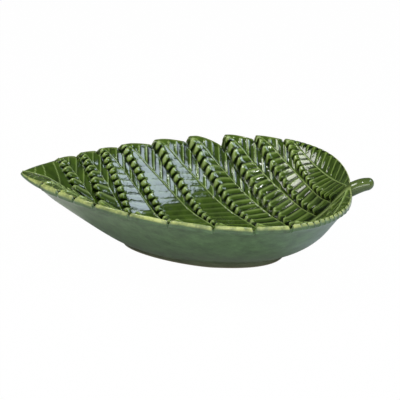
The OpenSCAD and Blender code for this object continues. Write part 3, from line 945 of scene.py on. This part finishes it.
def roll_glaze(colours):
    """Glaze of the midrib and the stalk, paler along their upper sides: a pale line on the midrib, and on the
    stalk a painted highlight.
    """
    finish = Finish("roll_glaze")
    dark, light = ROLL_BLOTS
    body = finish.ramp(finish.noise(scale=90, detail=3),
                       [(0.3, shade(colours.glaze, dark)), (0.75, shade(colours.thin, light))])
    finish.colour(finish.mix(finish.mark("pale"), body, shade(colours.vein)))
    finish.gloss(roughness=0.14, skin=0.00008)
    return finish.material


def foot_finish(colours):
    """Glaze on the side of the foot, and bare grainy clay under it."""
    finish = Finish("foot_finish")
    dark, light = FOOT_BLOTS
    bare = finish.mark("bare")
    glaze = finish.ramp(finish.noise(scale=60, detail=4),
                        [(0.3, shade(colours.foot, dark)), (0.7, shade(colours.foot, light))])
    grain = finish.ramp(finish.noise(scale=700, detail=6),
                        [(0.35, shade(colours.clay, CLAY_GRAIN)), (0.65, shade(colours.clay))])
    finish.colour(finish.mix(bare, glaze, grain))
    finish.feed(finish.shader.inputs["Roughness"], finish.scaled(bare, times=0.6, plus=0.25))
    return finish.material


def finish_of(make):
    """The finish that a function makes, made once and shared by the pieces that have it."""
    found = bpy.data.materials.get(make.__name__)
    return found or make(bpy.context.scene.leaf_dish_colours)


def dress(piece, node):
    """Ties a piece to its body and hides the CAD node that it stands for."""
    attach(piece, "root")
    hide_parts(node)


class LEAFDISH_OT_inside(bpy.types.Operator):
    """Makes the inside of the bowl with its leaflets, one piece on each side of the midrib"""

    bl_idname = "leafdish.inside"
    bl_label = "Inside of the bowl"

    def execute(self, context):
        leaf = Leaf(context.scene.leaf_dish_sizes)
        sides = (("bowl_inside_far", 1, FAR_BAND_MARK), ("bowl_inside_near", -1, NEAR_BAND_MARK))
        for name, side, band_mark in sides:
            points, v, light, vein, slot = relief_grid(leaf, side > 0)
            tip = np.clip(1 - leaf.along(points[..., 0]) / TIP_BAND_REACH, 0, 1)
            band = ease((v - BAND_START + TIP_BAND_START * tip) / (BAND_SPAN + TIP_BAND_SPAN * tip))
            rim = band * band_mark * (1 - ease(slot, 0, FULL_SLOT))
            piece = mesh_piece(name, askew(leaf, points * np.array([1, side, 1])),
                               grid_faces(*v.shape, flip=side < 0), finish_of(inside_glaze),
                               {"light": light, "vein": vein, "rim": rim})
            dress(piece, "dish_body")
        return {"FINISHED"}


class LEAFDISH_OT_outside(bpy.types.Operator):
    """Makes the rounded edge of the rim, the outer wall and the underside"""

    bl_idname = "leafdish.outside"
    bl_label = "Outside of the bowl"

    def execute(self, context):
        leaf = Leaf(context.scene.leaf_dish_sizes)
        far_points, _, _, _, far_slots = relief_grid(leaf, True)
        near_points, _, _, _, near_slots = relief_grid(leaf, False)
        loop = np.concatenate([far_points[:, -1], near_points[::-1, -1] * np.array([1, -1, 1])])
        slots = np.concatenate([far_slots[:, -1], near_slots[::-1, -1]])
        points, faces = outside_shell(leaf, loop)
        marks = {"rim": rim_mark(leaf, points, slots)}
        piece = mesh_piece("bowl_outside", askew(leaf, points), faces, finish_of(wall_glaze), marks)
        dress(piece, "dish_body")
        return {"FINISHED"}


def calm_reach(turn, reach):
    """The outline without its scallops: the reach smoothed over the turn round the foot."""
    even = np.linspace(-math.pi, math.pi, CALM_POINTS, endpoint=False)
    calm = np.interp(even, turn, reach, period=2 * math.pi)
    weights = np.hanning(2 * CALM_SPREAD + 1)
    weights = weights / weights.sum()
    padded = np.concatenate([calm[-CALM_SPREAD:], calm, calm[:CALM_SPREAD]])
    return np.interp(turn, even, np.convolve(padded, weights, "valid"), period=2 * math.pi)


def outside_shell(leaf, loop):
    """Rim lip, outer wall and underside, from the loop of points along the inner edge of the rim."""
    s = leaf.s
    centre = np.array([leaf.foot_x, 0, 0])
    flat = (loop - centre) * np.array([1, 1, 0])
    reach = np.linalg.norm(flat, axis=1, keepdims=True)
    radial = flat / reach
    turn = np.sort(np.arctan2(flat[:, 1], flat[:, 0]))[::-1]
    wall = np.stack([np.cos(turn), np.sin(turn), 0 * turn], -1)
    calm = calm_reach(turn, reach[:, 0])[:, None]
    foot = leaf.foot_radius(np.abs(turn))[:, None]
    low = leaf.outside(loop[:, 0], loop[:, 1])
    rows = []
    for t in np.linspace(0, 1, LIP_ROWS):
        a = math.pi * t
        p = loop + radial * s.lip * math.sin(a) ** LIP_POWER
        p[:, 2] = loop[:, 2] + (low - loop[:, 2]) * (1 - math.cos(a)) / 2
        rows.append(p)
    for t in np.linspace(0, 1, WALL_ROWS)[1:]:
        start = reach + (calm - reach) * ease(t, 0, SCALLOP_FADE)
        p = centre + wall * (start + (foot - start) * t)
        p[:, 2] = leaf.outside(p[:, 0], p[:, 1])
        rows.append(p)
    for t in UNDERSIDE_SHARES:
        p = centre + wall * foot * t
        p[:, 2] = s.foot_height
        rows.append(p)
    points = np.stack(rows, 1)
    faces = grid_faces(len(loop), len(rows), flip=True, close=True)
    closing = [k * len(rows) + len(rows) - 1 for k in reversed(range(len(loop)))]
    return points, list(map(list, faces)) + [closing]


def rim_mark(leaf, points, slots):
    """How far each point is up the lip of the rim, less in the small slots, and faintly a painted highlight
    in a thin line just above the foot.
    """
    _, r, foot, _, _ = leaf.around(points[..., 0], points[..., 1])
    above = points[..., 2] - leaf.outside(points[..., 0], points[..., 1])
    mark = ease(above / leaf.s.rim_edge, *LIP_MARK_RISE) * (r > foot)
    down = np.linspace(0, SLOT_MARK_DOWN, points.shape[1])[None]
    loss = SLOT_MARK_LOSS * ease(slots, 0, FULL_SLOT)[:, None] * ease(SLOT_MARK_END - down)
    # The thin line just above the foot is a painted highlight.
    return mark * (1 - loss) + FOOT_HIGHLIGHT * line(r - foot - FOOT_HIGHLIGHT_M, FOOT_HIGHLIGHT_WIDTH_M)


def roll(xs, zs, radii, sides, web=None):
    """A round roll along X, its rings in upright planes; web deepens their lower halves."""
    turns = ring_turns(sides)
    web = np.zeros_like(xs) if web is None else web
    across = radii[:, None] * np.cos(turns)
    up = (radii[:, None] + web[:, None] * (np.sin(turns) < 0)) * np.sin(turns)
    points = np.stack([xs[:, None] + 0 * across, across, zs[:, None] + up], -1)
    faces = []
    for ring in range(len(xs) - 1):
        for side in range(sides):
            here = ring * sides + side
            beside = ring * sides + (side + 1) % sides
            faces.append([here, beside, beside + sides, here + sides])
    faces.append(list(range(sides))[::-1])
    faces.append([(len(xs) - 1) * sides + side for side in range(sides)])
    return points, faces


class LEAFDISH_OT_midrib(bpy.types.Operator):
    """Makes the midrib, a roll of clay along the inside of the bowl"""

    bl_idname = "leafdish.midrib"
    bl_label = "Midrib"

    def execute(self, context):
        leaf = Leaf(context.scene.leaf_dish_sizes)
        s = leaf.s
        t = (1 - np.cos(np.linspace(0, math.pi, MIDRIB_RINGS))) / 2
        x = leaf.x0 + s.leaf_length * (TIP_CUT_SHARE + (STALK_CUT_SHARE - TIP_CUT_SHARE) * t)
        collar = np.clip(1 - (1 - t) / COLLAR_SHARE, 0, None) ** COLLAR_POWER
        radius = (s.midrib_at_tip + (s.midrib_neck - s.midrib_at_tip) * t ** NECK_GROWTH_POWER
                  + (s.stalk_root - s.midrib_neck) * collar)
        z = (leaf.inside(x, 0 * x) + s.midrib_ride * t ** RIDE_GROWTH_POWER * (1 - collar)
             - s.stalk_sink * collar)
        points, faces = roll(x, z, radius, MIDRIB_SIDES)
        turns = ring_turns(MIDRIB_SIDES)
        apart = LINE_PART * ease(t, *LINE_PART_RISE)[:, None]
        bright = 1 + TIP_LINE_MORE * (1 - ease(t, 0, TIP_LINE_REACH))[:, None]
        pale = bright * line(np.abs(np.cos(turns))[None] - apart, LINE_WIDTH) * (np.sin(turns) > 0)[None]
        piece = mesh_piece("midrib", points, faces, finish_of(roll_glaze), {"pale": pale})
        dress(piece, "dish_body")
        return {"FINISHED"}


class LEAFDISH_OT_stalk(bpy.types.Operator):
    """Makes the stalk that stands out past the rim as a short handle"""

    bl_idname = "leafdish.stalk"
    bl_label = "Stalk"

    def execute(self, context):
        leaf = Leaf(context.scene.leaf_dish_sizes)
        s = leaf.s
        start_x = float(STALK_LOW[0])
        end_x = float(STALK_HIGH[0])
        start_z = leaf.rim_height(STALK_CUT_SHARE) - s.stalk_sink
        x = start_x + (end_x - start_x) * np.sin(np.linspace(0, math.pi / 2, STALK_RINGS))
        out = (x - start_x) / (end_x - s.stalk_end - start_x)
        cap = np.clip(x - (end_x - s.stalk_end), 0, s.stalk_end * STALK_END_LIMIT)
        body = s.stalk_root + (s.stalk_end - s.stalk_root) * out + s.stalk_swell * np.sin(math.pi * out)
        radius = np.where(cap > 0, np.sqrt(s.stalk_end ** 2 - cap ** 2), body)
        z = start_z + s.stalk_rise * np.sin(math.pi / 2 * (x - start_x) / (end_x - start_x))
        web = s.stalk_web * np.clip(1 - out, 0, None) ** WEB_POWER
        points, faces = roll(x, z, radius, STALK_SIDES, web)
        # A painted highlight along the stalk's upper sides, over a faint pale tone all round.
        height = np.sin(ring_turns(STALK_SIDES))[None] - STALK_HIGHLIGHT_HEIGHT * np.ones_like(x)[:, None]
        pale = STALK_PALE_LEAST + STALK_HIGHLIGHT * line(height, STALK_HIGHLIGHT_WIDTH)
        piece = mesh_piece("stalk", points, faces, finish_of(roll_glaze), {"pale": pale})
        dress(piece, "stem_handle")
        return {"FINISHED"}


def foot_profile(s):
    """Section of the foot from its outer side to its inner one: inset, height and how bare the clay is."""
    edge = FOOT_EDGE_M
    tall = FOOT_EDGE_M * FOOT_EDGE_TALLER
    profile = [(0.0, s.foot_height, 0), (0.0, tall, 0)]
    for k in range(1, FOOT_EDGE_STEPS + 1):
        b = math.pi / 2 * k / FOOT_EDGE_STEPS
        profile.append((edge * (1 - math.cos(b)), tall * (1 - math.sin(b)), k / FOOT_EDGE_STEPS))
    for k in range(FOOT_EDGE_STEPS + 1):
        b = math.pi / 2 * k / FOOT_EDGE_STEPS
        profile.append((s.foot_band - edge * (1 - math.sin(b)), edge * (1 - math.cos(b)),
                        1 - k / FOOT_EDGE_STEPS))
    return profile + [(s.foot_band, s.foot_height, 0)]


class LEAFDISH_OT_foot(bpy.types.Operator):
    """Makes the foot ring with its bare resting face"""

    bl_idname = "leafdish.foot"
    bl_label = "Foot ring"

    def execute(self, context):
        leaf = Leaf(context.scene.leaf_dish_sizes)
        turns = np.linspace(0, 2 * math.pi, FOOT_COLUMNS, endpoint=False)
        foot = leaf.foot_radius(turns)
        rows = []
        bare = []
        for inset, z, value in foot_profile(leaf.s):
            r = foot - leaf.s.foot_step - inset
            rows.append(np.stack([leaf.foot_x + r * np.cos(turns), r * np.sin(turns), z + 0 * turns], -1))
            bare.append(np.full(len(turns), float(value)))
        faces = grid_faces(len(turns), len(rows), flip=True, close=True)
        piece = mesh_piece("foot_band", np.stack(rows, 1), faces, finish_of(foot_finish),
                           {"bare": np.stack(bare, 1)})
        dress(piece, "foot_ring")
        return {"FINISHED"}


def show_white(tree, lit, white, share, output):
    """Lets the camera see plain white by a share, while all other light meets the lit surface."""
    blend = tree.nodes.new("ShaderNodeMixShader")
    tree.links.new(share, blend.inputs["Fac"])
    tree.links.new(lit, blend.inputs[1])
    tree.links.new(white, blend.inputs[2])
    tree.links.new(blend.outputs["Shader"], tree.nodes[output].inputs["Surface"])


def studio_floor():
    """A wide, level, nearly white floor."""
    finish = Finish("studio_floor")
    floor = bpy.context.scene.leaf_dish_colours.floor
    finish.feed(finish.shader.inputs["Base Color"], tuple(floor))
    finish.feed(finish.shader.inputs["Roughness"], 0.9)
    finish.feed(finish.shader.inputs["Specular IOR Level"], 0.1)
    glow = finish.nodes.new("ShaderNodeEmission")
    glow.inputs["Color"].default_value = (1, 1, 1, 1)
    glow.inputs["Strength"].default_value = 1.0
    path = finish.nodes.new("ShaderNodeLightPath")
    share = finish.times(path.outputs["Is Camera Ray"], FLOOR_WHITE_SHARE)
    show_white(finish.material.node_tree, finish.shader.outputs["BSDF"], glow.outputs["Emission"], share,
               "Material Output")
    half = FLOOR_HALF_M
    corners = np.array([[-half, -half, 0], [half, -half, 0], [half, half, 0], [-half, half, 0]])
    return mesh_piece("studio_floor", corners, [[0, 1, 2, 3]], finish.material)


def studio_world():
    """A faint sky that lights the dish, behind a plain white that only the camera sees."""
    world = bpy.data.worlds.new("studio")
    world.use_nodes = True
    tree = world.node_tree
    sky = tree.nodes["Background"]
    sky.inputs["Color"].default_value = (*SKY_COLOUR, 1)
    sky.inputs["Strength"].default_value = SKY_STRENGTH
    white = tree.nodes.new("ShaderNodeBackground")
    white.inputs["Color"].default_value = (1, 1, 1, 1)
    white.inputs["Strength"].default_value = 1.0
    path = tree.nodes.new("ShaderNodeLightPath")
    show_white(tree, sky.outputs["Background"], white.outputs["Background"], path.outputs["Is Camera Ray"],
               "World Output")
    return world


def area_light(name, place, size, watts, colour=(1, 1, 1), turn=0.0):
    """A rectangular lamp aimed at the dish, turned about its own axis by degrees."""
    data = bpy.data.lights.new(name, "AREA")
    data.shape = "RECTANGLE"
    data.size, data.size_y = size
    data.energy = watts
    data.color = colour
    light = bpy.data.objects.new(name, data)
    light.location = place
    aim = (Vector(LAMP_TARGET) - Vector(place)).to_track_quat("-Z", "Y")
    light.rotation_euler = (aim @ Quaternion((0, 0, 1), math.radians(turn))).to_euler()
    bpy.context.scene.collection.objects.link(light)


def photo_camera(middle_x):
    """The camera that stands where the photo was taken from."""
    turn = math.radians(CAMERA["turn"])
    rise = math.radians(CAMERA["rise"])
    back = Vector((math.sin(turn) * math.cos(rise), -math.cos(turn) * math.cos(rise), math.sin(rise)))
    data = bpy.data.cameras.new("camera")
    data.sensor_width = SENSOR_MM
    data.lens = SENSOR_MM * CAMERA["pixels_per_mm"] * CAMERA["distance"] * MM_PER_M / PHOTO_PIXELS
    data.shift_x = CAMERA["left"] / PHOTO_PIXELS
    data.shift_y = CAMERA["down"] / PHOTO_PIXELS
    camera = bpy.data.objects.new("camera", data)
    camera.location = Vector((middle_x, 0, CAMERA_TARGET_Z)) + back * CAMERA["distance"]
    camera.rotation_euler = (-back).to_track_quat("-Z", "Y").to_euler()
    bpy.context.scene.collection.objects.link(camera)
    return camera


class LEAFDISH_OT_stage(bpy.types.Operator):
    """Makes the floor, the studio lights, the world and the camera"""

    bl_idname = "leafdish.stage"
    bl_label = "Stage"

    def execute(self, context):
        scene = context.scene
        floor = studio_floor()
        scene.world = studio_world()
        for lamp in LAMPS:
            area_light(**lamp)
        leaf = Leaf(scene.leaf_dish_sizes)
        scene.camera = photo_camera(leaf.x0 + leaf.s.leaf_length / 2)
        scene.view_settings.view_transform = "Standard"
        return {"FINISHED"}


class LEAFDISH_PT_panel(bpy.types.Panel):
    """Lists the steps that dress the dish"""

    bl_idname = "LEAFDISH_PT_panel"
    bl_label = "Leaf dish"
    bl_space_type = "VIEW_3D"
    bl_region_type = "UI"
    bl_category = "Leaf dish"

    def draw(self, context):
        for operator in STEPS:
            self.layout.operator(operator.bl_idname)
        for group in (context.scene.leaf_dish_sizes, context.scene.leaf_dish_colours):
            box = self.layout.box()
            for key in group.__annotations__:
                box.prop(group, key)


STEPS = (LEAFDISH_OT_inside, LEAFDISH_OT_outside, LEAFDISH_OT_midrib, LEAFDISH_OT_stalk,
         LEAFDISH_OT_foot, LEAFDISH_OT_stage)
CLASSES = (LeafDishSizes, LeafDishColours, *STEPS, LEAFDISH_PT_panel)


def register():
    for cls in CLASSES:
        bpy.utils.register_class(cls)
    bpy.types.Scene.leaf_dish_sizes = PointerProperty(type=LeafDishSizes)
    bpy.types.Scene.leaf_dish_colours = PointerProperty(type=LeafDishColours)


def unregister():
    del bpy.types.Scene.leaf_dish_sizes
    del bpy.types.Scene.leaf_dish_colours
    for cls in reversed(CLASSES):
        bpy.utils.unregister_class(cls)


def main():
    register()
    bpy.ops.leafdish.inside()
    bpy.ops.leafdish.outside()
    bpy.ops.leafdish.midrib()
    bpy.ops.leafdish.stalk()
    bpy.ops.leafdish.foot()
    bpy.ops.leafdish.stage()


if __name__ == "__main__":
    main()
